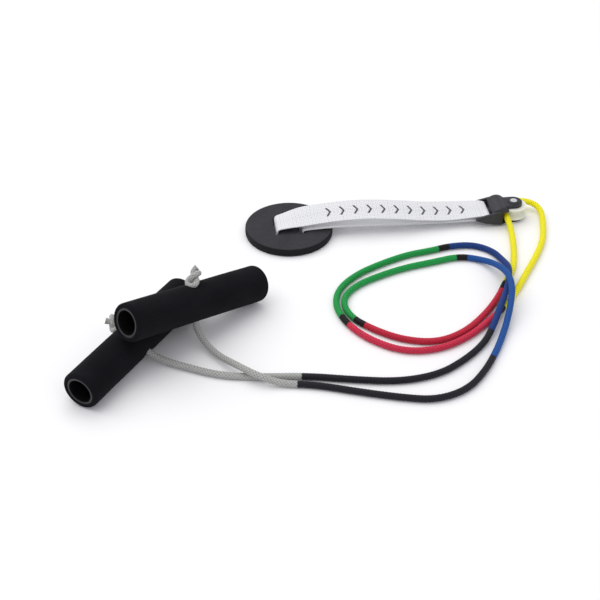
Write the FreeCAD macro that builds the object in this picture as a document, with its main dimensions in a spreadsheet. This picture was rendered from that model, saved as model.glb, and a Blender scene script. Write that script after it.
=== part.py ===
"""Over-door shoulder pulley: a rope with two handles runs through a small pulley block,
which hangs on a webbing strap from a rubber door disc. All sizes are in millimetres.

The origin is the centre of the disc's underside. +X runs along the strap towards the
pulley, and +Z is up. Everything lies on the plane Z = 0.
"""
import FreeCAD
import Part
import Sketcher
import math
import os
from FreeCAD import Vector

SIZES = {
    "DiscDiameter": 78.0,
    "DiscThickness": 7.4,
    "DiscEdge": 1.4,
    "SlotSpacing": 22.4,
    "SlotWidth": 4.4,
    "SlotLength": 26.5,
    "RecessDepth": 2.5,
    "StrapWidth": 24.0,
    "StrapThickness": 1.4,
    "PinX": 177.5,
    "PinZ": 8.5,
    "PinRadius": 2.0,
    "ArmGap": 24.8,
    "ArmWidth": 29.4,
    "ArmPocketEnd": 183.0,
    "BossX": 191.0,
    "BossRadius": 9.0,
    "BossWidth": 27.0,
    "BossRounding": 3.2,
    "CheekThickness": 3.3,
    "CheekGap": 10.4,
    "UpperCheekRadius": 7.8,
    "LowerCheekRadius": 8.8,
    "SheaveRoom": 13.4,
    "RopeRoomStart": 192.6,
    "EyeletRadius": 5.9,
    "EyeletHeight": 1.0,
    "HeadRadius": 3.1,
    "HeadThickness": 1.0,
    "HeadRoom": 3.25,
    "HeadDepth": 1.2,
    "AxleX": 204.8,
    "AxleRadius": 2.5,
    "SheaveRadius": 11.8,
    "SheaveThickness": 9.8,
    "SheaveBore": 2.56,
    "GrooveRadius": 3.5,
    "GrooveCentre": 9.7,
    "RopeDiameter": 5.5,
    "GripDiameter": 30.5,
    "GripLength": 142.0,
    "GripRounding": 2.8,
    "TubeDiameter": 23.0,
    "TubeBore": 19.6,
    "TubeLength": 140.6,
    "RopeHole": 3.6,
    "KnotRadius": 6.3,
    "KnotSeat": 15.6,
    "KnotCentre": 20.8,
    "KnotTail": 12.0,
}

# Each handle's centre, and its heading, tilt and roll in degrees. The rope's hole is its own Z axis.
HANDLES = {
    "handle_a": {"centre": (-91.5, -138.0, 32.2), "turn": (39.4, 14.2, -15.0)},
    "handle_b": {"centre": (-140.5, -159.0, 15.4), "turn": (54.0, 0.0, -62.0)},
}

# The direction of each knot's cut tail, in its handle's own axes.
TAILS = {"knot_a": (0.59, -0.53, 0.60), "knot_b": (-0.45, -0.15, 0.80)}

# The rope's route from the knot of handle A, through the pulley, to the knot of handle B.
ROPE_ROUTE = [
    (-91.2, -132.6, 46.6), (-91.1, -138.2, 32.2), (-91.9, -146.4, 9.8), (-79, -169, 3.4),
    (-63, -192, 8.9), (-49, -206, 8.9), (-31, -211, 2.9), (-6, -215, 2.8), (25, -227, 2.8),
    (57, -238, 2.8), (83, -244, 2.8), (109, -235, 2.8), (128, -214, 2.8), (143, -190, 2.8),
    (155, -167, 4.5), (164, -147, 10), (171, -126, 15.3), (172, -106, 15.3), (168, -86, 10),
    (161, -68, 2.8), (142, -60, 2.8), (117, -66, 2.8), (92, -71, 2.8), (66, -81, 2.8),
    (44, -93, 2.8), (31, -111, 2.8), (34, -134, 2.8), (50, -153, 2.8), (71, -169, 2.8),
    (97, -176, 2.8), (122, -166, 2.8), (144, -145, 2.8), (160, -124, 2.8), (172, -103, 2.8),
    (184, -84, 2.8), (190.5, -61, 2.8), (195.6, -37, 3.2), (196.9, -14, 8.2),
    (193.9, 10.2, 8.5), (218.2, 14.6, 8.5), (232.2, 5.4, 5.6), (229.4, -16.5, 2.8),
    (221.5, -44, 2.8), (208, -69, 2.8), (193, -92, 2.8), (179, -115, 2.8), (163, -136, 2.8),
    (145, -154, 2.8), (123, -173, 2.8), (97, -185, 2.8), (69, -184, 2.8), (45, -166, 2.8),
    (30, -143, 2.8), (24, -117, 2.8), (31, -94, 2.8), (50, -75, 2.8), (74, -62, 2.8),
    (98, -52, 2.8), (119, -48.5, 2.8), (137, -43.5, 2.8), (158, -44, 2.8), (173, -56, 2.8),
    (178, -73, 3.4), (178, -90, 9.3), (173, -109, 9.3), (164, -130, 9.3), (156, -145, 10),
    (147, -162, 5.2), (135, -181, 2.8), (116, -199, 2.8), (91, -215, 2.8), (59, -219.5, 2.8),
    (25, -213, 2.8), (-9, -204.5, 2.8), (-43, -201, 2.8), (-75, -196, 2.8),
    (-103, -181.5, 3.2), (-124.8, -170.4, 5.1), (-140.2, -159.2, 15.7), (-151.4, -151.1, 22.6),
]

# The strap's loop, seen from the side as (x, z): under the disc's bar, up the left slot, along
# the upper leg, round the yoke's pin, back along the lower leg and down the right slot.
STRAP_LOOP = [
    (-7.2, 1.15), (-11.2, 1.25), (-11.6, 4.5), (-11.6, 8.6), (-10.4, 11.6), (-4.0, 13.4),
    (14.0, 16.2), (42.0, 19.2), (70.0, 19.7), (98.0, 17.0), (126.0, 13.2), (150.0, 11.4),
    (174.5, 11.5), (180.9, 11.5), (180.9, 5.5), (174.5, 5.5), (150.0, 5.6), (112.0, 7.0),
    (76.0, 8.4), (44.0, 9.3), (18.0, 9.0), (11.4, 8.6), (11.4, 4.5), (11.2, 1.25), (7.2, 1.15),
]

doc = FreeCAD.newDocument("ShoulderPulley")
sheet = doc.addObject("Spreadsheet::Sheet", "Sizes")
for row, (alias, value) in enumerate(SIZES.items(), start=1):
    sheet.set("A%d" % row, alias)
    sheet.set("B%d" % row, str(value))
    sheet.setAlias("B%d" % row, alias)
doc.recompute()


def size(alias):
    """The value that the sheet holds for this alias."""
    return float(sheet.get(alias))


def add_sketch(body, name, plane, offset="0"):
    """A sketch on one of the body's own origin planes, raised from it by an expression."""
    sketch = body.newObject("Sketcher::SketchObject", name)
    role = plane + "_Plane"
    origin_plane = [part for part in body.Origin.OriginFeatures if part.Role == role][0]
    sketch.AttachmentSupport = [(origin_plane, "")]
    sketch.MapMode = "FlatFace"
    sketch.setExpression(".AttachmentOffset.Base.z", offset)
    return sketch


def bind_point(sketch, geometry, end, place):
    """Holds a point at (x, y), each an expression, or None where it lies on the other axis."""
    origin_axes = (-2, -1)
    for kind, expression, axis in zip(("DistanceX", "DistanceY"), place, origin_axes):
        if expression is None:
            sketch.addConstraint(Sketcher.Constraint("PointOnObject", geometry, end, axis))
        else:
            value = sketch.evalExpression(expression)
            rule = Sketcher.Constraint(kind, -1, 1, geometry, end, float(value))
            index = sketch.addConstraint(rule)
            sketch.setExpression("Constraints[%d]" % index, expression)


def start_point(sketch, place):
    x, y = [0.0 if part is None else float(sketch.evalExpression(part)) for part in place]
    return Vector(x, y, 0)


def add_circle(sketch, place, radius):
    """A circle whose centre and radius are expressions."""
    centre = start_point(sketch, place)
    value = float(sketch.evalExpression(radius))
    circle = sketch.addGeometry(Part.Circle(centre, Vector(0, 0, 1), value))
    index = sketch.addConstraint(Sketcher.Constraint("Radius", circle, value))
    sketch.setExpression("Constraints[%d]" % index, radius)
    bind_point(sketch, circle, 3, place)


def add_outline(sketch, places):
    """A closed outline of straight lines through points whose places are expressions."""
    points = [start_point(sketch, place) for place in places]
    lines = []
    for start, end in zip(points, points[1:] + points[:1]):
        lines.append(sketch.addGeometry(Part.LineSegment(start, end)))
    for line, following in zip(lines, lines[1:] + lines[:1]):
        sketch.addConstraint(Sketcher.Constraint("Coincident", line, 2, following, 1))
    for line, place in zip(lines, places):
        bind_point(sketch, line, 1, place)


def add_box_outline(sketch, left, right, half_height):
    """A rectangle that is the same above and below the sketch's X axis."""
    low = "-(%s)" % half_height
    add_outline(sketch, [(left, low), (right, low), (right, half_height), (left, half_height)])


def pad(body, sketch, length, midplane=False):
    feature = body.newObject("PartDesign::Pad", sketch.Name + "_pad")
    feature.Profile = sketch
    feature.Midplane = midplane
    feature.setExpression("Length", length)
    doc.recompute()
    return feature


def pocket(body, sketch, length):
    """A pocket cut half to each side of its sketch, which has to take material away."""
    before = body.Shape.Volume
    feature = body.newObject("PartDesign::Pocket", sketch.Name + "_pocket")
    feature.Profile = sketch
    feature.Midplane = True
    feature.setExpression("Length", length)
    doc.recompute()
    if body.Shape.Volume > before - 0.1:
        raise RuntimeError(feature.Name + " cuts nothing")
    return feature


def fillet(body, edges, radius):
    base = body.Tip
    feature = body.newObject("PartDesign::Fillet", "%s_round_%d" % (body.Name, len(body.Group)))
    feature.Base = (base, edges)
    feature.setExpression("Radius", radius)
    doc.recompute()
    return feature


def circular_edges(shape, radius):
    """The names of the round edges of this radius."""
    names = []
    for index, edge in enumerate(shape.Edges, start=1):
        curve = edge.Curve
        if isinstance(curve, Part.Circle) and abs(curve.Radius - radius) < 1e-4:
            names.append("Edge%d" % index)
    return names


def revolve(body, sketch, axis):
    feature = body.newObject("PartDesign::Revolution", sketch.Name + "_turn")
    feature.Profile = sketch
    feature.ReferenceAxis = (sketch, [axis])
    feature.Angle = 360
    doc.recompute()
    return feature


def new_body(name):
    body = doc.addObject("PartDesign::Body", name)
    body.Label = name
    return body


def rounded_path(points, closed=False):
    """Straight runs joined by tangent arcs, and the radii of those arcs.

    Each arc starts 0.45 of the shorter of its two runs from the corner.
    """
    count = len(points)
    corners = range(count) if closed else range(1, count - 1)
    edges = []
    radii = []
    end = None if closed else points[0]
    first = None
    for index in corners:
        corner = points[index]
        before = corner - points[index - 1]
        after = points[(index + 1) % count] - corner
        reach = 0.45 * min(before.Length, after.Length)
        turn = before.getAngle(after)
        radius = reach / math.tan(turn / 2)
        inward = (after.normalize() - before.normalize()).normalize()
        start = corner - before * reach
        finish = corner + after * reach
        middle = corner + inward * (radius / math.cos(turn / 2) - radius)
        if end is None:
            first = start
        else:
            edges.append(Part.LineSegment(end, start).toShape())
        edges.append(Part.Arc(start, middle, finish).toShape())
        radii.append(radius)
        end = finish
    last = first if closed else points[-1]
    edges.append(Part.LineSegment(end, last).toShape())
    return Part.Wire(edges), radii


def handle_placement(name):
    handle = HANDLES[name]
    return FreeCAD.Placement(Vector(*handle["centre"]), FreeCAD.Rotation(*handle["turn"]))


def make_disc():
    """The door disc, with two strap slots and a recess under the bar between them."""
    body = new_body("anchor_disc")
    outline = add_sketch(body, "disc_outline", "XY")
    add_circle(outline, (None, None), "Sizes.DiscDiameter / 2")
    pad(body, outline, "Sizes.DiscThickness")
    rim = circular_edges(body.Shape, size("DiscDiameter") / 2)
    fillet(body, rim, "Sizes.DiscEdge")
    inner = "(Sizes.SlotSpacing - Sizes.SlotWidth) / 2"
    outer = "(Sizes.SlotSpacing + Sizes.SlotWidth) / 2"
    for side, name in ((1, "right_slot"), (-1, "left_slot")):
        slot = add_sketch(body, name, "XY")
        sides = sorted(("%d * %s" % (side, inner), "%d * %s" % (side, outer)), key=slot.evalExpression)
        add_box_outline(slot, sides[0], sides[1], "Sizes.SlotLength / 2")
        pocket(body, slot, "3 * Sizes.DiscThickness")
    recess = add_sketch(body, "bar_recess", "XY")
    add_box_outline(recess, "-" + outer, outer, "Sizes.SlotLength / 2")
    pocket(body, recess, "2 * Sizes.RecessDepth")


def make_housing():
    """The moulded block: a barrel boss, two yoke arms round the strap, and two cheeks."""
    body = new_body("pulley_housing")
    boss = add_sketch(body, "boss", "XZ")
    add_circle(boss, ("Sizes.BossX", "Sizes.BossRadius"), "Sizes.BossRadius")
    pad(body, boss, "Sizes.BossWidth", midplane=True)
    rims = circular_edges(body.Shape, size("BossRadius"))
    fillet(body, rims, "Sizes.BossRounding")

    arms = add_sketch(body, "arms", "XZ")
    tip = "Sizes.PinX - 5 * Sizes.PinRadius"
    neck = "Sizes.PinX - Sizes.PinRadius / 2"
    add_outline(arms, [
        (tip, "Sizes.PinZ - Sizes.PinRadius / 2"), (neck, "Sizes.PinZ - 2.3 * Sizes.PinRadius"),
        ("Sizes.BossX", "Sizes.PinZ - 3.4 * Sizes.PinRadius"),
        ("Sizes.BossX", "Sizes.PinZ + 3.4 * Sizes.PinRadius"),
        (neck, "Sizes.PinZ + 1.7 * Sizes.PinRadius"), (tip, "Sizes.PinZ + Sizes.PinRadius / 4"),
    ])
    pad(body, arms, "Sizes.ArmWidth", midplane=True)
    between = add_sketch(body, "between_arms", "XY", "Sizes.PinZ")
    add_box_outline(between, "Sizes.PinX - 8 * Sizes.PinRadius", "Sizes.ArmPocketEnd", "Sizes.ArmGap / 2")
    pocket(body, between, "3 * Sizes.BossRadius")

    levels = (("lower", "0", "Sizes.LowerCheekRadius"),
              ("upper", "Sizes.CheekThickness + Sizes.CheekGap", "Sizes.UpperCheekRadius"))
    for name, height, radius in levels:
        tab = add_sketch(body, name + "_tab", "XY", height)
        add_box_outline(tab, "Sizes.BossX", "Sizes.AxleX", radius)
        pad(body, tab, "Sizes.CheekThickness")
        ear = add_sketch(body, name + "_ear", "XY", height)
        add_circle(ear, ("Sizes.AxleX", None), radius)
        pad(body, ear, "Sizes.CheekThickness")
    ring = add_sketch(body, "eyelet_ring", "XY", "2 * Sizes.CheekThickness + Sizes.CheekGap")
    add_circle(ring, ("Sizes.AxleX", None), "Sizes.EyeletRadius")
    pad(body, ring, "Sizes.EyeletHeight")

    middle = "Sizes.CheekThickness + Sizes.CheekGap / 2"
    rope_room = add_sketch(body, "rope_room", "XY", middle)
    add_box_outline(rope_room, "Sizes.RopeRoomStart", "Sizes.AxleX + 2 * Sizes.SheaveRadius",
                    "Sizes.ArmWidth")
    pocket(body, rope_room, "Sizes.CheekGap")
    sheave_room = add_sketch(body, "sheave_room", "XY", middle)
    add_circle(sheave_room, ("Sizes.AxleX", None), "Sizes.SheaveRoom")
    pocket(body, sheave_room, "Sizes.CheekGap")
    axle_hole = add_sketch(body, "axle_hole", "XY", middle)
    add_circle(axle_hole, ("Sizes.AxleX", None), "Sizes.AxleRadius")
    pocket(body, axle_hole, "4 * Sizes.CheekGap")
    top = "2 * Sizes.CheekThickness + Sizes.CheekGap + Sizes.EyeletHeight"
    for name, height in (("upper_head_room", top), ("lower_head_room", "0")):
        room = add_sketch(body, name, "XY", height)
        add_circle(room, ("Sizes.AxleX", None), "Sizes.HeadRoom")
        pocket(body, room, "2 * Sizes.HeadDepth")
    pin_hole = add_sketch(body, "pin_hole", "XZ")
    add_circle(pin_hole, ("Sizes.PinX", "Sizes.PinZ"), "Sizes.PinRadius")
    pocket(body, pin_hole, "2 * Sizes.ArmWidth")


def make_pin():
    """The yoke's cross pin, flush with the arms' outer faces."""
    pin = doc.addObject("Part::Cylinder", "strap_pin")
    pin.Label = "strap_pin"
    pin.setExpression("Radius", "Sizes.PinRadius")
    pin.setExpression("Height", "Sizes.ArmWidth")
    place = Vector(size("PinX"), size("ArmWidth") / 2, size("PinZ"))
    pin.Placement = FreeCAD.Placement(place, FreeCAD.Rotation(Vector(1, 0, 0), 90))


def make_axle():
    """A plain axle between two flat heads, each sunk in its cheek."""
    body = new_body("sheave_axle")
    profile = add_sketch(body, "axle_profile", "XZ")
    low = "Sizes.HeadDepth - Sizes.HeadThickness"
    top = "2 * Sizes.CheekThickness + Sizes.CheekGap + Sizes.EyeletHeight - (%s)" % low
    add_outline(profile, [
        (None, low), ("Sizes.HeadRadius", low), ("Sizes.HeadRadius", "Sizes.HeadDepth"),
        ("Sizes.AxleRadius", "Sizes.HeadDepth"), ("Sizes.AxleRadius", "%s - Sizes.HeadThickness" % top),
        ("Sizes.HeadRadius", "%s - Sizes.HeadThickness" % top), ("Sizes.HeadRadius", top), (None, top),
    ])
    revolve(body, profile, "V_Axis")
    body.Placement.Base = Vector(size("AxleX"), 0, 0)


def make_sheave():
    """The wheel, with a round groove for the rope."""
    body = new_body("sheave")
    profile = add_sketch(body, "sheave_profile", "XZ")
    half = "Sizes.SheaveThickness / 2"
    add_outline(profile, [
        ("Sizes.SheaveBore", "-" + half), ("Sizes.SheaveRadius", "-" + half),
        ("Sizes.SheaveRadius", half), ("Sizes.SheaveBore", half),
    ])
    revolve(body, profile, "V_Axis")
    before = body.Shape.Volume
    groove_profile = add_sketch(body, "groove_profile", "XZ")
    outside = "Sizes.SheaveRadius + 1"
    add_outline(groove_profile, [
        ("Sizes.GrooveCentre", "-Sizes.GrooveRadius"), (outside, "-Sizes.GrooveRadius - 0.3"),
        (outside, "Sizes.GrooveRadius + 0.3"), ("Sizes.GrooveCentre", "Sizes.GrooveRadius"),
        ("Sizes.GrooveCentre - 0.8 * Sizes.GrooveRadius", "0.75 * Sizes.GrooveRadius"),
        ("Sizes.GrooveCentre - Sizes.GrooveRadius", "0.3 * Sizes.GrooveRadius"),
        ("Sizes.GrooveCentre - Sizes.GrooveRadius", "-0.3 * Sizes.GrooveRadius"),
        ("Sizes.GrooveCentre - 0.8 * Sizes.GrooveRadius", "-0.75 * Sizes.GrooveRadius"),
    ])
    groove = body.newObject("PartDesign::Groove", "rope_groove")
    groove.Profile = groove_profile
    groove.ReferenceAxis = (groove_profile, ["V_Axis"])
    groove.Angle = 360
    doc.recompute()
    if body.Shape.Volume > before - 1:
        raise RuntimeError("the groove cuts nothing")
    height = size("CheekThickness") + size("CheekGap") / 2
    body.Placement.Base = Vector(size("AxleX"), 0, height)


def make_grip(name):
    """A foam sleeve with rounded shoulders and a rope hole straight through its middle."""
    body = new_body(name + "_grip")
    section = add_sketch(body, name + "_grip_section", "YZ")
    add_circle(section, (None, None), "Sizes.GripDiameter / 2")
    add_circle(section, (None, None), "Sizes.TubeDiameter / 2")
    pad(body, section, "Sizes.GripLength", midplane=True)
    shoulders = circular_edges(body.Shape, size("GripDiameter") / 2)
    fillet(body, shoulders, "Sizes.GripRounding")
    hole = add_sketch(body, name + "_grip_hole", "XY")
    add_circle(hole, (None, None), "Sizes.RopeHole")
    pocket(body, hole, "2 * Sizes.GripDiameter")
    body.Placement = handle_placement(name)


def make_tube(name):
    """The plastic tube inside the foam, open at both ends, with the same rope hole."""
    body = new_body(name + "_tube")
    section = add_sketch(body, name + "_tube_section", "YZ")
    add_circle(section, (None, None), "Sizes.TubeDiameter / 2")
    add_circle(section, (None, None), "Sizes.TubeBore / 2")
    pad(body, section, "Sizes.TubeLength", midplane=True)
    hole = add_sketch(body, name + "_tube_hole", "XY")
    add_circle(hole, (None, None), "Sizes.RopeHole")
    pocket(body, hole, "2 * Sizes.GripDiameter")
    body.Placement = handle_placement(name)


def make_knot(name, handle):
    """A ball for the knot, flat where the rope comes up through the grip, and its cut tail."""
    radius = size("KnotRadius")
    side = 4 * radius
    centre = Vector(0, 0, size("KnotCentre"))
    ball = Part.makeSphere(radius, centre)
    box = Part.makeBox(side, side, side, Vector(-side / 2, -side / 2, size("KnotSeat")))
    tail = Part.makeCylinder(size("RopeDiameter") / 2, size("KnotTail"), centre, Vector(*TAILS[name]))
    knot = doc.addObject("Part::Feature", name)
    knot.Label = name
    knot.Shape = ball.fuse(tail).common(box).removeSplitter()
    knot.Placement = handle_placement(handle)


def make_strap():
    """The webbing, one closed loop of even thickness."""
    points = [Vector(x, 0, z) for x, z in STRAP_LOOP]
    middle, radii = rounded_path(points, closed=True)
    print("strap: loop %.1f mm, smallest radius %.2f" % (middle.Length, min(radii)))
    half = size("StrapThickness") / 2
    outer = Part.Face(middle.makeOffset2D(half))
    inner = Part.Face(middle.makeOffset2D(-half))
    ring = outer.cut(inner)
    if ring.Area < half * middle.Length:
        raise RuntimeError("the strap's section is wrong")
    solid = ring.extrude(Vector(0, size("StrapWidth"), 0))
    solid.translate(Vector(0, -size("StrapWidth") / 2, 0))
    strap = doc.addObject("Part::Feature", "strap_webbing")
    strap.Label = "strap_webbing"
    strap.Shape = Part.Solid(solid.Solids[0])


def make_rope():
    """One tube from knot to knot."""
    points = [Vector(*point) for point in ROPE_ROUTE]
    path, radii = rounded_path(points)
    radius = size("RopeDiameter") / 2
    direction = points[1] - points[0]
    section = Part.Wire([Part.Circle(points[0], direction, radius).toShape()])
    tube = path.makePipeShell([section], True, False)
    expected = math.pi * radius ** 2 * path.Length
    print("rope: %.1f mm long, radii from %.1f mm, volume %.4f of section x length"
          % (path.Length, min(radii), tube.Volume / expected))
    print("rope radii:", " ".join("%.0f" % value for value in radii))
    rope = doc.addObject("Part::Feature", "rope")
    rope.Label = "rope"
    rope.Shape = tube


def check_and_export():
    """Writes each sub-part only when the whole document is sound."""
    doc.recompute()
    for item in doc.Objects:
        if "Invalid" in item.State or "Error" in item.State:
            raise RuntimeError(item.Name + " failed")
    pieces = [item for item in doc.Objects if item.Label == item.Name and item.Name in NODES]
    if len(pieces) != len(NODES):
        raise RuntimeError("a sub-part is missing")
    for piece in pieces:
        if piece.Shape.isNull() or not piece.Shape.isValid() or len(piece.Shape.Solids) != 1:
            raise RuntimeError(piece.Name + " is not one valid solid")
    os.makedirs("parts", exist_ok=True)
    for piece in pieces:
        box = piece.Shape.optimalBoundingBox(False, False)
        print("%-18s volume %9.1f  z %.2f to %.2f" % (piece.Name, piece.Shape.Volume, box.ZMin, box.ZMax))
        piece.Shape.exportStep("parts/%s.step" % piece.Name)


NODES = [
    "anchor_disc", "strap_webbing", "strap_pin", "pulley_housing", "sheave", "sheave_axle", "rope",
    "knot_a", "knot_b", "handle_a_grip", "handle_a_tube", "handle_b_grip", "handle_b_tube",
]

make_disc()
make_strap()
make_pin()
make_housing()
make_axle()
make_sheave()
make_rope()
for handle_name in HANDLES:
    make_grip(handle_name)
    make_tube(handle_name)
make_knot("knot_a", "handle_a")
make_knot("knot_b", "handle_b")
check_and_export()
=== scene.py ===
"""Over-door shoulder pulley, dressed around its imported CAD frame.

A braided rope in coloured zones runs from one foam grip, round a small pulley block, to the other
grip. A white webbing strap joins the block to a foam-rubber door disc. All lengths are in metres.
"""
import bpy
import math
import numpy as np
from mathutils import Matrix, Vector, noise


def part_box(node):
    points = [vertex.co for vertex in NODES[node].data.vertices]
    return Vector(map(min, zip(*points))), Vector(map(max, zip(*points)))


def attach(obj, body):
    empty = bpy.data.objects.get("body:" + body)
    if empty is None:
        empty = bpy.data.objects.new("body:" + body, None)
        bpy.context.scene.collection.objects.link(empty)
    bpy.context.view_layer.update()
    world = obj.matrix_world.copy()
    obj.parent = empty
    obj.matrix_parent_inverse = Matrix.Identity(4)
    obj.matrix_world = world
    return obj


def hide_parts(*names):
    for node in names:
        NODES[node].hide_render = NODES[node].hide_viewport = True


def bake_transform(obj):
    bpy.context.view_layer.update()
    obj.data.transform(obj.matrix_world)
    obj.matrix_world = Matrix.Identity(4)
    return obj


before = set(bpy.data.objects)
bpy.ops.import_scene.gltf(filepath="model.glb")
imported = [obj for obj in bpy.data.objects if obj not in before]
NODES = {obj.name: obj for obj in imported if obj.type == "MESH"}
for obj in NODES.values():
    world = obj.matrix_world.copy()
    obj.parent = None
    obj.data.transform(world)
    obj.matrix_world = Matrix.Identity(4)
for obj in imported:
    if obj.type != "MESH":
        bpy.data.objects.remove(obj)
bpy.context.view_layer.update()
MM = 0.001

# ---------------------------------------------------------------- sizes, in metres

CAMERA_PLACE = (-0.1104, -0.9527, 0.6341)
CAMERA_TARGET = (-0.00297, -0.10254, 0.0)
CAMERA_LENS_MM = 76.8
LIT_MIDDLE = (0.02, -0.10, 0.0)
FLOOR_HALF = 4.0
FLOOR_DROP = 0.0001

ROPE_DIAMETER = 0.0055
KNOT_ROPE_DIAMETER = 0.0047
BRAID_STRANDS = 6
BRAID_PICK = 0.0027
BRAID_RELIEF = 0.00034
ROPE_STEP = 0.0004
ROPE_SIDES = 32
ZONE_RAGGEDNESS = 0.0006

GRIP_RADIUS = 0.01525
GRIP_BORE = 0.01152
GRIP_LENGTH = 0.142
GRIP_ROUNDING = 0.0028
GRIP_SIDES = 176
ROPE_HOLE = 0.0031
TUBE_LENGTH = 0.1406
# How deep the foam is pressed in, and how far out the dent reaches.
KNOT_DENT = (0.0013, 0.0062)
ROPE_DENT = (0.0012, 0.0045)
# Unevenness of a surface, as (height, frequency) layers.
FOAM_UNEVENNESS = [(0.00010, 55.0), (0.00004, 700.0)]
DISC_UNEVENNESS = [(0.00008, 60.0), (0.00003, 600.0)]

# Each handle's yaw, pitch and roll in degrees, then where its knot's tail points, in its own axes.
HANDLE_TURNS = {"handle_a": (39.4, 14.2, -15.0), "handle_b": (54.0, 0.0, -62.0)}
TAILS = {"handle_a": (0.85, -0.40, 0.34), "handle_b": (-0.45, -0.15, 0.80)}
# Each knot's turn about its hole in degrees, its shift off the hole, and how many millimetres of
# its tail are cut off.
KNOT_TURNS = {"handle_a": -25.0, "handle_b": 0.0}
KNOT_SHIFTS = {"handle_a": (0.0012, 0.0030), "handle_b": (0.0, 0.0022)}
KNOT_CUTS = {"handle_a": 2, "handle_b": 4}
# The height of a knot's middle over the grip's axis, and the height at which its rope starts.
KNOT_LIFT = 0.0199
KNOT_START = 0.0135

DISC_VOXEL = 0.00045
BLOCK_VOXEL = 0.00028
# The disc's side is painted darker as shade, from the first radius on and fully at the second,
# and a little further in on what lies below its top face.
DISC_SHADED_SIDE = (0.0380, 0.0388)
DISC_SHADED_SIDE_EASE = 0.0004
DISC_TOP = 0.0058

STRAP_WIDTH = 0.024
STRAP_THICKNESS = 0.0014
STRAP_RELIEF = 0.00022
STRAP_STEP = 0.00045
WEFT_PITCH = 0.00155
WARP_PITCH = 0.0017
UPPER_LEAN = math.radians(14.5)
LOWER_LEAN = math.radians(4.0)
STRAP_BOW = 0.0030
# The height between the strap's two legs, as (x, z).
BETWEEN_LEGS = [(0.0, 0.0105), (0.045, 0.0140), (0.10, 0.0120), (0.15, 0.0084), (0.1809, 0.0084)]

# The rope's route, from the knot of handle A, through the pulley, to the knot of handle B.
ROPE_ROUTE = [
    (-0.0912, -0.1326, 0.0466), (-0.0911, -0.1382, 0.0322), (-0.0919, -0.1464, 0.0098),
    (-0.079, -0.169, 0.0034), (-0.063, -0.192, 0.0089), (-0.049, -0.206, 0.0089),
    (-0.031, -0.211, 0.0029), (-0.006, -0.215, 0.0028), (0.025, -0.227, 0.0028),
    (0.057, -0.238, 0.0028), (0.083, -0.244, 0.0028), (0.109, -0.235, 0.0028),
    (0.128, -0.214, 0.0028), (0.143, -0.190, 0.0028), (0.155, -0.167, 0.0045),
    (0.164, -0.147, 0.010), (0.171, -0.126, 0.0153), (0.172, -0.106, 0.0153),
    (0.168, -0.086, 0.010), (0.161, -0.068, 0.0028), (0.142, -0.060, 0.0028),
    (0.117, -0.066, 0.0028), (0.092, -0.071, 0.0028), (0.066, -0.081, 0.0028),
    (0.044, -0.093, 0.0028), (0.031, -0.111, 0.0028), (0.034, -0.134, 0.0028),
    (0.050, -0.153, 0.0028), (0.071, -0.169, 0.0028), (0.097, -0.176, 0.0028),
    (0.122, -0.166, 0.0028), (0.144, -0.145, 0.0028), (0.160, -0.124, 0.0028),
    (0.172, -0.103, 0.0028), (0.184, -0.084, 0.0028), (0.1905, -0.061, 0.0028),
    (0.1956, -0.037, 0.0032), (0.1969, -0.014, 0.0082), (0.1939, 0.0102, 0.0085),
    (0.2182, 0.0146, 0.0085), (0.2322, 0.0054, 0.0056), (0.2294, -0.0165, 0.0028),
    (0.2215, -0.044, 0.0028), (0.208, -0.069, 0.0028), (0.193, -0.092, 0.0028),
    (0.179, -0.115, 0.0028), (0.163, -0.136, 0.0028), (0.145, -0.154, 0.0028),
    (0.123, -0.173, 0.0028), (0.097, -0.185, 0.0028), (0.069, -0.184, 0.0028),
    (0.045, -0.166, 0.0028), (0.030, -0.143, 0.0028), (0.024, -0.117, 0.0028),
    (0.031, -0.094, 0.0028), (0.050, -0.075, 0.0028), (0.074, -0.062, 0.0028),
    (0.098, -0.052, 0.0028), (0.119, -0.0485, 0.0028), (0.137, -0.0435, 0.0028),
    (0.158, -0.044, 0.0028), (0.173, -0.056, 0.0028), (0.178, -0.073, 0.0034),
    (0.178, -0.090, 0.0093), (0.173, -0.109, 0.0093), (0.164, -0.130, 0.0093),
    (0.156, -0.145, 0.010), (0.147, -0.162, 0.0052), (0.135, -0.181, 0.0028),
    (0.116, -0.199, 0.0028), (0.091, -0.215, 0.0028), (0.059, -0.2195, 0.0028),
    (0.025, -0.213, 0.0028), (-0.009, -0.2045, 0.0028), (-0.043, -0.201, 0.0028),
    (-0.075, -0.196, 0.0028), (-0.103, -0.1815, 0.0032), (-0.1248, -0.1704, 0.0051),
    (-0.1402, -0.1592, 0.0157), (-0.1514, -0.1511, 0.0226),
]
# The two strands meet here, beside the wheel, after the route's point with this index.
MEETING = (0.1954, -0.0019, 0.00835)
BEFORE_WHEEL = 37

# The strap's loop from the side as (x, z), with more points where it turns round the disc's bar
# and the yoke's pin.
STRAP_LOOP = [
    (-0.0072, 0.00115), (-0.0112, 0.00125), (-0.0116, 0.0045), (-0.0116, 0.0080), (-0.0108, 0.0106),
    (-0.0050, 0.0120), (0.0040, 0.0142), (0.016, 0.0162), (0.042, 0.0192), (0.068, 0.0208),
    (0.098, 0.0182), (0.126, 0.0132), (0.150, 0.0112), (0.1745, 0.0113), (0.1809, 0.0113),
    (0.1809, 0.0055), (0.1745, 0.0055), (0.150, 0.0056), (0.112, 0.0068), (0.076, 0.0083),
    (0.044, 0.0092), (0.018, 0.0089), (0.0114, 0.0084), (0.0114, 0.0045), (0.0112, 0.00125),
    (0.0072, 0.00115),
]

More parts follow.
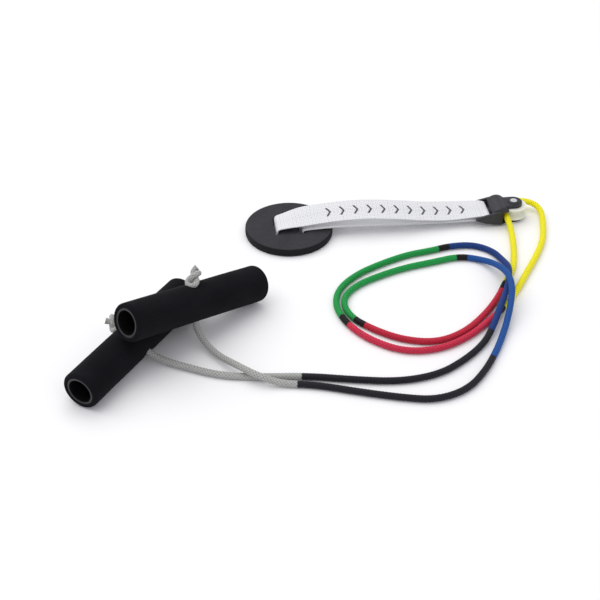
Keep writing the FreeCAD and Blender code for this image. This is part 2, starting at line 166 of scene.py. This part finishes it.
BLOCK_DARK = (0.0085, 0.0090, 0.0120)
BLOCK_LIGHT = (0.0150, 0.0158, 0.0200)
COLOURS = {
    "yellow": (0.960, 0.880, 0.016), "marker": (0.008, 0.006, 0.006), "red": (0.560, 0.022, 0.052),
    "bright_red": (0.640, 0.030, 0.075), "green": (0.012, 0.330, 0.065), "blue": (0.012, 0.085, 0.330),
    "dark_blue": (0.011, 0.046, 0.215), "black": (0.013, 0.013, 0.018), "silver": (0.430, 0.440, 0.415),
}
# Each strand's zones, as the distance from the pulley at which each one ends.
ZONES_A = [(0.107, "yellow"), (0.1185, "marker"), (0.274, "red"), (0.285, "marker"), (0.4345, "green"),
           (0.4445, "marker"), (0.601, "blue"), (0.7785, "black"), (2.0, "silver")]
ZONES_B = [(0.209, "yellow"), (0.2185, "marker"), (0.371, "bright_red"), (0.383, "marker"),
           (0.531, "green"), (0.5415, "marker"), (0.7035, "dark_blue"), (0.8805, "black"), (2.0, "silver")]


# ---------------------------------------------------------------- camera, light and floor

def facing(place, target):
    """The turn of a camera or light at a place that looks at the target."""
    return (Vector(target) - Vector(place)).to_track_quat("-Z", "Y").to_euler()


def make_camera():
    data = bpy.data.cameras.new("camera")
    data.sensor_width = 36
    data.lens = CAMERA_LENS_MM
    data.clip_start = 0.01
    camera = bpy.data.objects.new("camera", data)
    bpy.context.scene.collection.objects.link(camera)
    camera.location = CAMERA_PLACE
    camera.rotation_euler = facing(CAMERA_PLACE, CAMERA_TARGET)
    bpy.context.scene.camera = camera


def make_light(name, place, size, power, colour):
    data = bpy.data.lights.new(name, "AREA")
    data.shape = "DISK"
    data.size = size
    data.energy = power
    data.color = colour
    light = bpy.data.objects.new(name, data)
    light.location = place
    light.rotation_euler = facing(place, LIT_MIDDLE)
    bpy.context.scene.collection.objects.link(light)


def make_studio():
    """A large soft light overhead and a little to the left, in a white room."""
    world = bpy.data.worlds.new("studio")
    bpy.context.scene.world = world
    world.use_nodes = True
    background = world.node_tree.nodes["Background"]
    background.inputs["Color"].default_value = (0.94, 0.94, 1.0, 1.0)
    background.inputs["Strength"].default_value = 0.80
    make_light("key", (-0.55, 0.40, 1.70), 2.6, 22.0, (1.0, 0.985, 0.93))
    make_light("fill", (0.9, -1.3, 1.1), 1.4, 1.5, (0.95, 0.97, 1.0))
    bpy.context.scene.view_settings.view_transform = "Standard"


def make_floor():
    mesh = bpy.data.meshes.new("floor")
    corners = [(FLOOR_HALF * x, FLOOR_HALF * y, 0) for x, y in ((-1, -1), (1, -1), (1, 1), (-1, 1))]
    mesh.from_pydata(corners, [], [(0, 1, 2, 3)])
    floor = bpy.data.objects.new("floor", mesh)
    floor.location.z = -FLOOR_DROP
    bpy.context.scene.collection.objects.link(floor)
    floor.data.materials.append(floor_material())


# ---------------------------------------------------------------- materials

class Nodes:
    """A material's node tree, with short calls for the nodes used here."""

    def __init__(self, name, roughness, specular=0.5):
        self.material = bpy.data.materials.new(name)
        self.material.use_nodes = True
        self.tree = self.material.node_tree
        self.shader = self.tree.nodes["Principled BSDF"]
        self.shader.inputs["Roughness"].default_value = roughness
        self.shader.inputs["Specular IOR Level"].default_value = specular
        self.place = self.add("ShaderNodeTexCoord").outputs["Object"]

    def add(self, kind, **settings):
        node = self.tree.nodes.new(kind)
        for key, value in settings.items():
            setattr(node, key, value)
        return node

    def link(self, source, target):
        self.tree.links.new(source, target)

    def noise(self, scale, detail=4.0, roughness=0.55):
        node = self.add("ShaderNodeTexNoise")
        node.inputs["Scale"].default_value = scale
        node.inputs["Detail"].default_value = detail
        node.inputs["Roughness"].default_value = roughness
        self.link(self.place, node.inputs["Vector"])
        return node.outputs["Fac"]

    def cells(self, scale):
        node = self.add("ShaderNodeTexVoronoi", feature="SMOOTH_F1")
        node.inputs["Scale"].default_value = scale
        self.link(self.place, node.inputs["Vector"])
        return node.outputs["Distance"]

    def attribute(self, name, output="Fac"):
        return self.add("ShaderNodeAttribute", attribute_name=name).outputs[output]

    def ramp(self, value, stops):
        """A colour ramp through (position, grey or colour) stops."""
        node = self.add("ShaderNodeValToRGB")
        ramp = node.color_ramp
        while len(ramp.elements) < len(stops):
            ramp.elements.new(0.5)
        for element, (position, shade) in zip(ramp.elements, stops):
            element.position = position
            colour = (shade,) * 3 if isinstance(shade, float) else shade
            element.color = (*colour, 1.0)
        self.link(value, node.inputs["Fac"])
        return node.outputs["Color"]

    def mix(self, factor, first, second, kind="MIX"):
        """Two colours mixed; each input is a socket, a number or a colour."""
        node = self.add("ShaderNodeMix", data_type="RGBA", blend_type=kind)
        sockets = (node.inputs["Factor"], node.inputs[6], node.inputs[7])
        for socket, value in zip(sockets, (factor, first, second)):
            if isinstance(value, bpy.types.NodeSocket):
                self.link(value, socket)
            elif isinstance(value, float):
                socket.default_value = value
            else:
                socket.default_value = (*value, 1.0)
        return node.outputs[2]

    def spread(self, value, low, high):
        """Maps a value in 0 to 1 to the range from low to high."""
        node = self.add("ShaderNodeMapRange")
        node.inputs["To Min"].default_value = low
        node.inputs["To Max"].default_value = high
        self.link(value, node.inputs["Value"])
        return node.outputs["Result"]

    def bump(self, height, distance, strength=1.0, normal=None):
        node = self.add("ShaderNodeBump")
        node.inputs["Distance"].default_value = distance
        node.inputs["Strength"].default_value = strength
        self.link(height, node.inputs["Height"])
        if normal is not None:
            self.link(normal, node.inputs["Normal"])
        return node.outputs["Normal"]

    def finish(self, colour=None, roughness=None, normal=None):
        for value, socket in ((colour, "Base Color"), (roughness, "Roughness"), (normal, "Normal")):
            if value is not None:
                self.link(value, self.shader.inputs[socket])
        return self.material


def floor_material():
    kit = Nodes("floor_paper", 0.9, 0.2)
    tone = kit.spread(kit.noise(3.0), 0.895, 0.915)
    return kit.finish(colour=tone)


def braid_material():
    """Braided polyester: the zone's colour, with painted shade between the strands and painted light on their
    crowns, and fine fibres.
    """
    kit = Nodes("braided_polyester", 0.62, 0.18)
    kit.shader.inputs["Sheen Weight"].default_value = 0.03
    kit.shader.inputs["Sheen Roughness"].default_value = 0.5
    # Painted shade and light: the zone's colour is darkened in the grooves and lightened on the strands'
    # crowns, by the braid's height.
    painted_braid_shade = kit.ramp(kit.attribute("height"), [(0.0, 0.16), (0.5, 0.78), (1.0, 1.16)])
    shaded = kit.mix(1.0, kit.attribute("zone", "Color"), painted_braid_shade, "MULTIPLY")
    fibre = kit.ramp(kit.noise(1400.0, 3.0), [(0.25, 0.84), (0.75, 1.1)])
    colour = kit.mix(1.0, shaded, fibre, "MULTIPLY")
    rough = kit.spread(kit.noise(900.0), 0.5, 0.72)
    return kit.finish(colour, rough, kit.bump(kit.noise(2600.0, 3.0), 0.00008, 0.6))


def foam_material():
    """Black closed-cell foam: fine open cells with painted shade in their pits, slightly greyer where it is
    handled.
    """
    kit = Nodes("black_foam", 0.85, 0.1)
    worn = kit.ramp(kit.noise(45.0, 5.0), [(0.3, (0.0030, 0.0033, 0.0045)), (0.75, (0.0060, 0.0064, 0.0080))])
    # Painted shade: this speck darkens each cell's middle, where the bump sinks, and lightens its rim.
    speck = kit.ramp(kit.cells(1500.0), [(0.0, 0.5), (0.5, 1.2)])
    colour = kit.mix(1.0, worn, speck, "MULTIPLY")
    rough = kit.spread(kit.noise(120.0), 0.78, 0.94)
    cells = kit.bump(kit.cells(1500.0), 0.00018, 0.7)
    return kit.finish(colour, rough, kit.bump(kit.noise(420.0), 0.00012, 0.5, cells))


def disc_material():
    """Foam rubber sheet: a charcoal skin with faint mottling, and painted shade on its side."""
    kit = Nodes("foam_rubber", 0.8, 0.2)
    mottle = kit.ramp(kit.noise(70.0, 6.0, 0.7),
                      [(0.3, (0.027, 0.027, 0.031)), (0.72, (0.042, 0.042, 0.047))])
    # Painted shade: where the "edge" value rises, the mottled top colour gives way to a much darker one on
    # the side.
    skin = kit.mix(kit.attribute("edge"), mottle, (0.0085, 0.0080, 0.0090))
    speck = kit.ramp(kit.noise(1100.0, 3.0), [(0.2, 0.78), (0.8, 1.14)])
    colour = kit.mix(1.0, skin, speck, "MULTIPLY")
    rough = kit.spread(kit.noise(160.0), 0.68, 0.88)
    grain = kit.bump(kit.noise(1300.0, 4.0), 0.00012, 0.6)
    return kit.finish(colour, rough, kit.bump(kit.noise(260.0), 0.0002, 0.4, grain))


def tube_material(handle):
    """Extruded plastic tube: a painted highlight on its cut end, and painted shade over the rest, bore
    included.
    """
    kit = Nodes(handle + "_tube_plastic", 0.4, 0.3)
    matrix = handle_matrix(handle)
    inside = kit.add("ShaderNodeMapping", vector_type="TEXTURE")
    inside.inputs["Location"].default_value = matrix.translation
    inside.inputs["Rotation"].default_value = matrix.to_euler()
    kit.link(kit.place, inside.inputs["Vector"])
    parts = kit.add("ShaderNodeSeparateXYZ")
    kit.link(inside.outputs["Vector"], parts.inputs["Vector"])
    reach = kit.add("ShaderNodeMath", operation="ABSOLUTE")
    kit.link(parts.outputs["X"], reach.inputs[0])
    cut = kit.add("ShaderNodeMapRange")
    cut.inputs["From Min"].default_value = TUBE_LENGTH / 2 - 0.0007
    cut.inputs["From Max"].default_value = TUBE_LENGTH / 2 - 0.0001
    kit.link(reach.outputs["Value"], cut.inputs["Value"])
    streaks_and_painted_bore_shade = kit.ramp(kit.noise(300.0, 4.0),
                      [(0.3, (0.0030, 0.0032, 0.0034)), (0.7, (0.0058, 0.0060, 0.0062))])
    # Painted light: the end face takes a lighter colour as a highlight, and the rest a darker one that stands
    # for the bore's shade.
    colour = kit.mix(cut.outputs["Result"], streaks_and_painted_bore_shade, (0.025, 0.028, 0.029))
    rough = kit.spread(kit.noise(500.0, 4.0), 0.34, 0.52)
    return kit.finish(colour, rough, kit.bump(kit.noise(1800.0, 3.0), 0.00005, 0.5))


def grained_material(name, dark, light, grain, roughness):
    """A hard dark surface with a fine grain, for moulded plastic and for blackened steel."""
    kit = Nodes(name, roughness, 0.5)
    colour = kit.ramp(kit.noise(90.0, 5.0), [(0.3, dark), (0.7, light)])
    rough = kit.spread(kit.noise(300.0, 4.0), roughness - 0.06, roughness + 0.08)
    return kit.finish(colour, rough, kit.bump(kit.noise(2200.0, 3.0), grain, 0.5))


def nylon_material():
    kit = Nodes("natural_nylon", 0.34, 0.5)
    kit.shader.inputs["Subsurface Weight"].default_value = 0.12
    kit.shader.inputs["Subsurface Radius"].default_value = (0.002, 0.002, 0.0015)
    colour = kit.ramp(kit.noise(130.0, 4.0), [(0.3, (0.78, 0.785, 0.68)), (0.75, (0.86, 0.865, 0.78))])
    rough = kit.spread(kit.noise(400.0), 0.28, 0.42)
    return kit.finish(colour, rough, kit.bump(kit.noise(900.0, 3.0), 0.00005, 0.4))


def steel_material():
    kit = Nodes("bright_steel", 0.2)
    kit.shader.inputs["Metallic"].default_value = 1.0
    colour = kit.ramp(kit.noise(200.0, 4.0), [(0.3, (0.74, 0.74, 0.73)), (0.7, (0.86, 0.86, 0.85))])
    rough = kit.spread(kit.noise(700.0, 4.0), 0.14, 0.3)
    return kit.finish(colour, rough, kit.bump(kit.noise(1500.0), 0.00003, 0.4))


def webbing_material():
    """White webbing: painted shade between the yarns, with a plain dark grey print."""
    kit = Nodes("white_webbing", 0.7, 0.3)
    kit.shader.inputs["Sheen Weight"].default_value = 0.15
    kit.shader.inputs["Sheen Roughness"].default_value = 0.5
    # Painted shade: the cloth is darkened where the weave is low, between the yarns, and kept white on their
    # crowns.
    painted_weave_shade = kit.ramp(kit.attribute("height"),
                    [(0.0, (0.36, 0.37, 0.38)), (0.5, (0.71, 0.72, 0.73)), (1.0, (0.89, 0.89, 0.88))])
    fibre = kit.ramp(kit.noise(1500.0, 3.0), [(0.2, 0.88), (0.8, 1.05)])
    cloth = kit.mix(1.0, painted_weave_shade, fibre, "MULTIPLY")
    patchy = kit.ramp(kit.noise(900.0, 3.0), [(0.2, (0.012, 0.012, 0.015)), (0.85, (0.055, 0.055, 0.06))])
    colour = kit.mix(kit.attribute("print"), cloth, patchy)
    rough = kit.spread(kit.noise(800.0), 0.6, 0.8)
    return kit.finish(colour, rough, kit.bump(kit.noise(2600.0, 3.0), 0.00008, 0.5))


# ---------------------------------------------------------------- lines and grids

def smooth_line(route, step, cyclic=False):
    """Evenly spaced points along the NURBS curve whose control points are the route."""
    curve = bpy.data.curves.new("route", "CURVE")
    curve.dimensions = "3D"
    curve.resolution_u = 32
    spline = curve.splines.new("NURBS")
    spline.points.add(len(route) - 1)
    for point, place in zip(spline.points, route):
        point.co = (*place, 1.0)
    spline.order_u = 3
    spline.use_endpoint_u = not cyclic
    spline.use_cyclic_u = cyclic
    holder = bpy.data.objects.new("route", curve)
    mesh = bpy.data.meshes.new_from_object(holder)
    line = np.array([vertex.co for vertex in mesh.vertices])
    bpy.data.objects.remove(holder)
    bpy.data.meshes.remove(mesh)
    bpy.data.curves.remove(curve)
    if cyclic:
        line = np.vstack([line, line[:1]])
    return even_points(line, step)


def even_points(line, step):
    """The same line with its points a step apart."""
    reach = lengths_along(line)
    count = int(round(reach[-1] / step)) + 1
    along = np.linspace(0.0, reach[-1], count)
    return np.stack([np.interp(along, reach, line[:, axis]) for axis in range(3)], axis=1)


def lengths_along(line):
    return np.concatenate([[0.0], np.cumsum(np.linalg.norm(np.diff(line, axis=0), axis=1))])


def unit(vectors):
    return vectors / np.linalg.norm(vectors, axis=-1, keepdims=True)


def smooth_step(value, low, high):
    """Rises smoothly from 0 at the low value to 1 at the high one."""
    share = np.clip((value - low) / (high - low), 0, 1)
    return share * share * (3 - 2 * share)


def carried_frames(line):
    """The tangents of a line, and two normals that are carried along it without twisting."""
    tangents = unit(np.gradient(line, axis=0))
    normals = np.empty_like(tangents)
    start = np.cross(tangents[0], (0.31, 0.47, 0.83))
    normals[0] = start / np.linalg.norm(start)
    for index in range(1, len(line)):
        carried = normals[index - 1] - tangents[index] * (normals[index - 1] @ tangents[index])
        normals[index] = carried / np.linalg.norm(carried)
    return tangents, normals, np.cross(tangents, normals)


def grid_faces(rows, count, closed_rows=False):
    """Quads over a grid whose rows are closed rings."""
    last = rows if closed_rows else rows - 1
    row = np.arange(last)[:, None] * count
    following = (np.arange(last)[:, None] + 1) % rows * count
    here = np.arange(count)
    beside = (here + 1) % count
    faces = [row + here, row + beside, following + beside, following + here]
    return np.stack(faces, axis=-1).reshape(-1, 4).tolist()


def grid_mesh(name, grid, closed_rows=False):
    """An object from rings of points. Its ends are closed by fans, or joined when the rows are closed."""
    rows, count = grid.shape[:2]
    places = grid.reshape(-1, 3)
    faces = grid_faces(rows, count, closed_rows)
    if not closed_rows:
        centres = np.array([grid[0].mean(axis=0), grid[-1].mean(axis=0)])
        first, second = len(places), len(places) + 1
        start = (rows - 1) * count
        faces += [(first, (k + 1) % count, k) for k in range(count)]
        faces += [(second, start + k, start + (k + 1) % count) for k in range(count)]
        places = np.vstack([places, centres])
    mesh = bpy.data.meshes.new(name)
    mesh.from_pydata(places.tolist(), [], faces)
    mesh.shade_smooth()
    piece = bpy.data.objects.new(name, mesh)
    bpy.context.scene.collection.objects.link(piece)
    return piece


def set_values(piece, name, values):
    """A named value on each vertex. The caps' centres take the last one."""
    attribute = piece.data.attributes.new(name, "FLOAT", "POINT")
    full = np.full(len(piece.data.vertices), values.reshape(-1)[-1], dtype=np.float32)
    full[:values.size] = values.reshape(-1)
    attribute.data.foreach_set("value", full)


def set_colours(piece, name, colours):
    """A named colour on each vertex. The caps' centres take the last one."""
    attribute = piece.data.color_attributes.new(name, "FLOAT_COLOR", "POINT")
    colours = colours.reshape(-1, 3)
    full = np.ones((len(piece.data.vertices), 4), dtype=np.float32)
    full[:, :3] = colours[-1]
    full[:len(colours), :3] = colours
    attribute.data.foreach_set("color", full.reshape(-1))


# ---------------------------------------------------------------- rope and knots

def braid_height(around, along):
    """The height, 0 to 1, of a braid whose strands pass over and under each other."""
    turn = BRAID_STRANDS * around / (2 * math.pi)
    right = turn + along / BRAID_PICK
    left = turn - along / BRAID_PICK
    right_over = (np.floor(right) + np.floor(left)) % 2 == 0
    across_right = np.abs(np.sin(math.pi * right))
    across_left = np.abs(np.sin(math.pi * left))
    over_right = across_right ** 0.6 * (0.55 + 0.45 * across_left)
    over_left = across_left ** 0.6 * (0.55 + 0.45 * across_right)
    return np.where(right_over, over_right, over_left)


def braided_tube(name, line, diameter, zones, swell=1.0):
    """A tube along a line, with the braid's relief and the zones' colours.

    The swell scales the radius, as one number or as one for each point of the line.
    """
    tangents, normals, sides = carried_frames(line)
    along = lengths_along(line)[:, None]
    around = np.linspace(0.0, 2 * math.pi, ROPE_SIDES, endpoint=False)[None, :]
    height = braid_height(around, along)
    radius = diameter / 2 - BRAID_RELIEF * (1 - height)
    radius = radius * np.reshape(swell, (-1, 1))
    ring = np.cos(around)[..., None] * normals[:, None] + np.sin(around)[..., None] * sides[:, None]
    piece = grid_mesh(name, line[:, None] + radius[..., None] * ring)
    set_values(piece, "height", height)
    limits = np.array([limit for limit, _ in zones])
    shades = np.array([COLOURS[colour] for _, colour in zones])
    ragged = along + ZONE_RAGGEDNESS * (height - 0.5)
    set_colours(piece, "zone", shades[np.searchsorted(limits, np.minimum(ragged, limits[-1]))])
    return piece


def make_strand(name, route, zones):
    """One strand from the wheel to its knot, bending where it goes into its handle."""
    line = smooth_line(route, ROPE_STEP)
    strand = braided_tube(name, line, ROPE_DIAMETER, zones)
    strand.data.materials.append(BRAID)
    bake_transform(strand)
    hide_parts("rope")
    return strand, line


def pulled_knot(tail):
    """The centreline of an overhand knot, tied loosely and then pulled tight.

    The rope comes up from below, and its tail leaves along the given direction. The points are
    held a step apart and kept nearly one rope's width from the other turns. Lengths are in
    millimetres.
    """
    step = 1.0
    nearest_turn = 8
    squashed = 0.35
    gap = KNOT_ROPE_DIAMETER / MM - squashed
    turn = np.linspace(-2.35, 2.35, 400)
    loose = np.stack([turn ** 3 - 3 * turn, turn ** 4 - 4 * turn ** 2, turn ** 5 / 5 - 2 * turn], axis=1)
    line = even_points(1.3 * loose, step)
    rise = Vector(line[-1] - line[0]).rotation_difference(Vector((0, 0, 1)))
    line = line @ np.array(rise.to_matrix()).T
    first, second = np.triu_indices(len(line), k=nearest_turn)
    pull, rounds, stiffness = 0.06, 420, 0.12
    tail = np.array(Vector(tail).normalized())
    for _ in range(rounds):
        line[0] -= (0, 0, pull)
        line[-1] += pull * tail
        for _ in range(3):
            line[1:-1] += stiffness * ((line[:-2] + line[2:]) / 2 - line[1:-1])
            for parity in (0, 1):
                here = np.arange(parity, len(line) - 1, 2)
                gaps = line[here + 1] - line[here]
                change = 0.5 * gaps * (1 - step / np.linalg.norm(gaps, axis=1, keepdims=True))
                line[here] += change
                line[here + 1] -= change
            apart = line[second] - line[first]
            distance = np.linalg.norm(apart, axis=1)
            close = distance < gap
            push = (0.25 * (gap / distance[close] - 1))[:, None] * apart[close]
            moves = np.zeros_like(line)
            counts = np.ones(len(line))
            for ends, sign in ((first[close], -1), (second[close], 1)):
                np.add.at(moves, ends, sign * push)
                np.add.at(counts, ends, 0.4)
            line += moves / counts[:, None]
    return line


def handle_matrix(handle):
    """The handle's own axes: X along the grip, Z along the rope's hole."""
    low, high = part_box(handle + "_tube")
    yaw, pitch, roll = (math.radians(angle) for angle in HANDLE_TURNS[handle])
    turned = Matrix.Rotation(yaw, 4, "Z") @ Matrix.Rotation(pitch, 4, "Y") @ Matrix.Rotation(roll, 4, "X")
    return Matrix.Translation((low + high) / 2) @ turned


def make_knot(handle):
    """An overhand knot that sits on the grip, with a short cut tail that is a little frayed."""
    line = pulled_knot(TAILS[handle])[:-KNOT_CUTS[handle]] * MM
    line = line @ np.array(Matrix.Rotation(math.radians(KNOT_TURNS[handle]), 3, "Z")).T
    line[:, :2] += smooth_step(line[:, 2], -0.005, 0.002)[:, None] * KNOT_SHIFTS[handle]
    line[:, 2] += KNOT_LIFT
    line = smooth_line(line[line[:, 2] > KNOT_START], ROPE_STEP)
    left = lengths_along(line)[-1] - lengths_along(line)
    frayed = 0.16 * np.exp(-(left / 0.0012) ** 2)
    waist = 0.05 * np.exp(-((left - 0.0025) / 0.0015) ** 2)
    knot = braided_tube("knot_" + handle[-1] + "_tied", line, KNOT_ROPE_DIAMETER, [(2.0, "silver")],
                        1.0 + frayed - waist)
    knot.data.transform(handle_matrix(handle))
    knot.data.materials.append(BRAID)
    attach(knot, handle)
    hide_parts("knot_" + handle[-1])
    return knot


# ---------------------------------------------------------------- foam grips

def grip_profile():
    """The sleeve's closed section as (x, radius): outside, rounded shoulder, end face and bore."""
    end = GRIP_LENGTH / 2
    flat = end - GRIP_ROUNDING
    fine_reach, fine_step = 0.010, 0.00045
    near = np.arange(0.0, fine_reach, fine_step)
    far = np.linspace(fine_reach, flat, 70)
    half = [(x, GRIP_RADIUS) for x in np.concatenate([near, far])]
    for angle in np.linspace(0, math.pi / 2, 10)[1:]:
        half.append((flat + GRIP_ROUNDING * math.sin(angle),
                     GRIP_RADIUS - GRIP_ROUNDING * (1 - math.cos(angle))))
    lip, inside = 0.0004, 0.04
    half += [(end, GRIP_BORE + lip), (end - lip, GRIP_BORE), (inside, GRIP_BORE)]
    other = [(-x, radius) for x, radius in half[:0:-1]]
    return np.array(half + other)


def dent(distance, depth, reach):
    return depth * np.exp(-(distance / reach) ** 2)


def make_grip(handle):
    """A foam sleeve, pressed in round the rope's hole and under the knot."""
    profile = grip_profile()
    x = profile[:, 0][:, None]
    around = np.linspace(0, 2 * math.pi, GRIP_SIDES, endpoint=False)[None, :]
    radius = np.repeat(profile[:, 1][:, None], GRIP_SIDES, axis=1)
    outside = smooth_step(radius, GRIP_BORE + 0.001, GRIP_RADIUS - 0.0005)
    across = GRIP_RADIUS * np.cos(around)
    from_hole = np.hypot(x, across)
    knot_side = np.sin(around) > 0
    pressed = np.where(knot_side, dent(from_hole, *KNOT_DENT), dent(from_hole, *ROPE_DENT))
    closed = smooth_step(from_hole, ROPE_HOLE - 0.0002, ROPE_HOLE + 0.0006)
    opened = (GRIP_RADIUS - GRIP_BORE) * (1 - closed)
    radius = radius - outside * np.maximum(pressed, opened)
    grid = np.stack([x + 0 * radius, radius * np.cos(around), radius * np.sin(around)], axis=-1)
    grip = grid_mesh(handle + "_foam", grid, closed_rows=True)
    roughen(grip, FOAM_UNEVENNESS, handle)
    grip.data.transform(handle_matrix(handle))
    grip.data.materials.append(FOAM)
    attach(grip, handle)
    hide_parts(handle + "_grip")


def roughen(piece, layers, seed_word):
    """Moves each vertex along its normal by smooth noise, as (height, frequency) layers."""
    mesh = piece.data
    shift = Vector((len(seed_word), ord(seed_word[-1]), 3.7))
    places = np.empty((len(mesh.vertices), 3))
    mesh.vertices.foreach_get("co", places.ravel())
    normals = np.empty((len(mesh.vertices), 3))
    mesh.vertex_normals.foreach_get("vector", normals.ravel())
    heights = np.zeros(len(places))
    for size, frequency in layers:
        heights += [size * noise.noise(Vector(place) * frequency + shift) for place in places]
    mesh.vertices.foreach_set("co", (places + heights[:, None] * normals).ravel())
    mesh.update()


# ---------------------------------------------------------------- eased copies of hard parts

def eased_copy(node, name, voxel, passes):
    """The CAD part's shape with its sharp edges eased, as a moulding has them."""
    source = bpy.data.objects.new(name + "_source", NODES[node].data.copy())
    bpy.context.scene.collection.objects.link(source)
    weld = source.modifiers.new("weld", "WELD")
    weld.merge_threshold = 1e-6
    remesh = source.modifiers.new("remesh", "REMESH")
    remesh.mode = "VOXEL"
    remesh.voxel_size = voxel
    ease = source.modifiers.new("ease", "SMOOTH")
    ease.iterations = passes
    ease.factor = 0.5
    graph = bpy.context.evaluated_depsgraph_get()
    mesh = bpy.data.meshes.new_from_object(source.evaluated_get(graph))
    bpy.data.objects.remove(source)
    mesh.materials.clear()
    mesh.shade_smooth()
    piece = bpy.data.objects.new(name, mesh)
    bpy.context.scene.collection.objects.link(piece)
    return piece


def make_disc():
    disc = eased_copy("anchor_disc", "door_disc", DISC_VOXEL, 3)
    roughen(disc, DISC_UNEVENNESS, "disc")
    places = np.array([vertex.co for vertex in disc.data.vertices])
    reach = np.hypot(places[:, 0], places[:, 1])
    # The "edge" value marks the disc's side, where its painted shade falls.
    eased = DISC_SHADED_SIDE_EASE * (places[:, 2] < DISC_TOP)
    set_values(disc, "edge", smooth_step(reach + eased, *DISC_SHADED_SIDE))
    disc.data.materials.append(disc_material())
    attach(disc, "anchor")
    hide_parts("anchor_disc")


def make_block():
    block = eased_copy("pulley_housing", "pulley_block", BLOCK_VOXEL, 2)
    block.data.materials.append(grained_material("moulded_black", BLOCK_DARK, BLOCK_LIGHT, 0.00006, 0.42))
    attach(block, "pulley")
    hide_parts("pulley_housing")


# ---------------------------------------------------------------- strap

def weave_height(across, along):
    """The height, 0 to 1, of a plain weave of lengthwise warp and crosswise weft."""
    warp = np.abs(np.sin(math.pi * across / WARP_PITCH))
    weft = np.abs(np.sin(math.pi * along / WEFT_PITCH))
    warp_over = (np.floor(across / WARP_PITCH) + np.floor(along / WEFT_PITCH)) % 2 == 0
    return np.where(warp_over, warp ** 0.6 * (0.5 + 0.5 * weft), 0.85 * weft ** 0.6 * (0.6 + 0.4 * warp))


def strap_lean(line):
    """How far each leg leans, far edge up, and how far both bow, along the strap's loop."""
    x, z = line[:, 0], line[:, 2]
    between = np.interp(x, *zip(*BETWEEN_LEGS))
    upper = smooth_step(z, between - 0.0012, between + 0.0012)
    upper_away = smooth_step(x, -0.0110, 0.016) * (1 - 0.62 * smooth_step(x, 0.140, 0.174))
    lower_away = smooth_step(x, 0.014, 0.05)
    lean = upper * UPPER_LEAN * upper_away + (1 - upper) * LOWER_LEAN * lower_away
    straight_at_pin = 1 - smooth_step(x, 0.1745, 0.1790)
    along_bow = np.clip((x - 0.02) / 0.15, 0, 1)
    bow = -STRAP_BOW * np.sin(math.pi * along_bow) ** 2 * (0.4 + 0.6 * upper)
    return lean * straight_at_pin, bow


def strap_section():
    """The webbing's section as (across, out, weave share), inner face first, with rounded edges."""
    half, thick = STRAP_WIDTH / 2, STRAP_THICKNESS / 2
    flat = half - thick
    outer = [(w, thick, 1.0) for w in np.linspace(-flat, flat, 53)]
    edge = [(flat + thick * math.sin(a), thick * math.cos(a), 0.6) for a in np.linspace(0, math.pi, 6)[1:-1]]
    inner = [(w, -thick, 0.0) for w in np.linspace(flat, -flat, 24)]
    other = [(-w, -out, share) for w, out, share in edge]
    return np.array(outer + edge + inner + other)[::-1]


def chevrons(x, across):
    """A plain printed row of chevrons along the upper leg."""
    pitch, height, stroke = 0.0122, 0.0052, 0.0019
    first, slope, pitches = 0.036, 0.62, 10.4
    lean = x - first + slope * np.abs(across)
    in_stroke = (lean % pitch) < stroke
    in_row = (np.abs(across) < height) & (lean > 0) & (lean < pitches * pitch)
    return (in_stroke & in_row).astype(float)


def strap_grid():
    """The strap's points, row by row along its loop, with each one's weave height and print.

    The last value is the row where the loop turns behind the pin.
    """
    line = smooth_line([(x, 0.0, z) for x, z in STRAP_LOOP], STRAP_STEP, cyclic=True)
    along = lengths_along(line)
    tangents = unit(np.roll(line[:-1], -1, axis=0) - np.roll(line[:-1], 1, axis=0))
    tangents = np.vstack([tangents, tangents[:1]])
    lean, bow = strap_lean(line)
    wide = np.array([0.0, 1.0, 0.0])
    out = np.cross(tangents, wide)
    width = np.cos(lean)[:, None] * wide + np.sin(lean)[:, None] * out
    out = np.cos(lean)[:, None] * out - np.sin(lean)[:, None] * wide
    line = line + bow[:, None] * wide
    across, height, share = strap_section().T
    weave = weave_height(across[None, :], along[:, None])
    lift = height[None, :] - np.sign(height)[None, :] * share[None, :] * STRAP_RELIEF * (1 - weave)
    grid = line[:, None] + across[None, :, None] * width[:, None] + lift[..., None] * out[:, None]
    yarns = np.where(share[None, :] > 0, weave, 0.8)
    upward = (out[:, 2] > 0.5)[:, None] & (share > 0.9)[None, :]
    printed = np.where(upward, chevrons(line[:, 0][:, None], across[None, :]), 0.0)
    turn = int(np.argmax(line[:, 0]))
    return grid, yarns, printed, turn


def make_strap():
    """The webbing's loop in two legs, which meet under the disc's bar and behind the yoke's pin.

    Each leg leans, far edge up, where it leaves its own slot.
    """
    grid, yarns, printed, turn = strap_grid()
    cloth = webbing_material()
    legs = (("strap_upper_leg", slice(0, turn + 1)), ("strap_lower_leg", slice(turn, len(grid))))
    for name, part in legs:
        leg = grid_mesh(name, grid[part])
        set_values(leg, "height", yarns[part])
        set_values(leg, "print", printed[part])
        leg.data.materials.append(cloth)
        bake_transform(leg)
        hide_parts("strap_webbing")


# ---------------------------------------------------------------- build

def paint(node, material):
    """Gives a CAD piece a better material."""
    NODES[node].data.materials.clear()
    NODES[node].data.materials.append(material)


BRAID = braid_material()
FOAM = foam_material()
make_camera()
make_studio()
make_floor()

route_a = [MEETING] + ROPE_ROUTE[BEFORE_WHEEL::-1]
route_b = [MEETING] + ROPE_ROUTE[BEFORE_WHEEL + 1:]
strand_a, line_a = make_strand("rope_strand_a", route_a, ZONES_A)
strand_b, line_b = make_strand("rope_strand_b", route_b, ZONES_B)
make_knot("handle_a")
make_knot("handle_b")
make_grip("handle_a")
make_grip("handle_b")
make_disc()
make_block()
make_strap()
paint("sheave", nylon_material())
paint("sheave_axle", steel_material())
paint("strap_pin", grained_material(
    "blackened_steel", (0.010, 0.010, 0.011), (0.020, 0.020, 0.022), 0.00002, 0.3))
for handle in ("handle_a", "handle_b"):
    paint(handle + "_tube", tube_material(handle))
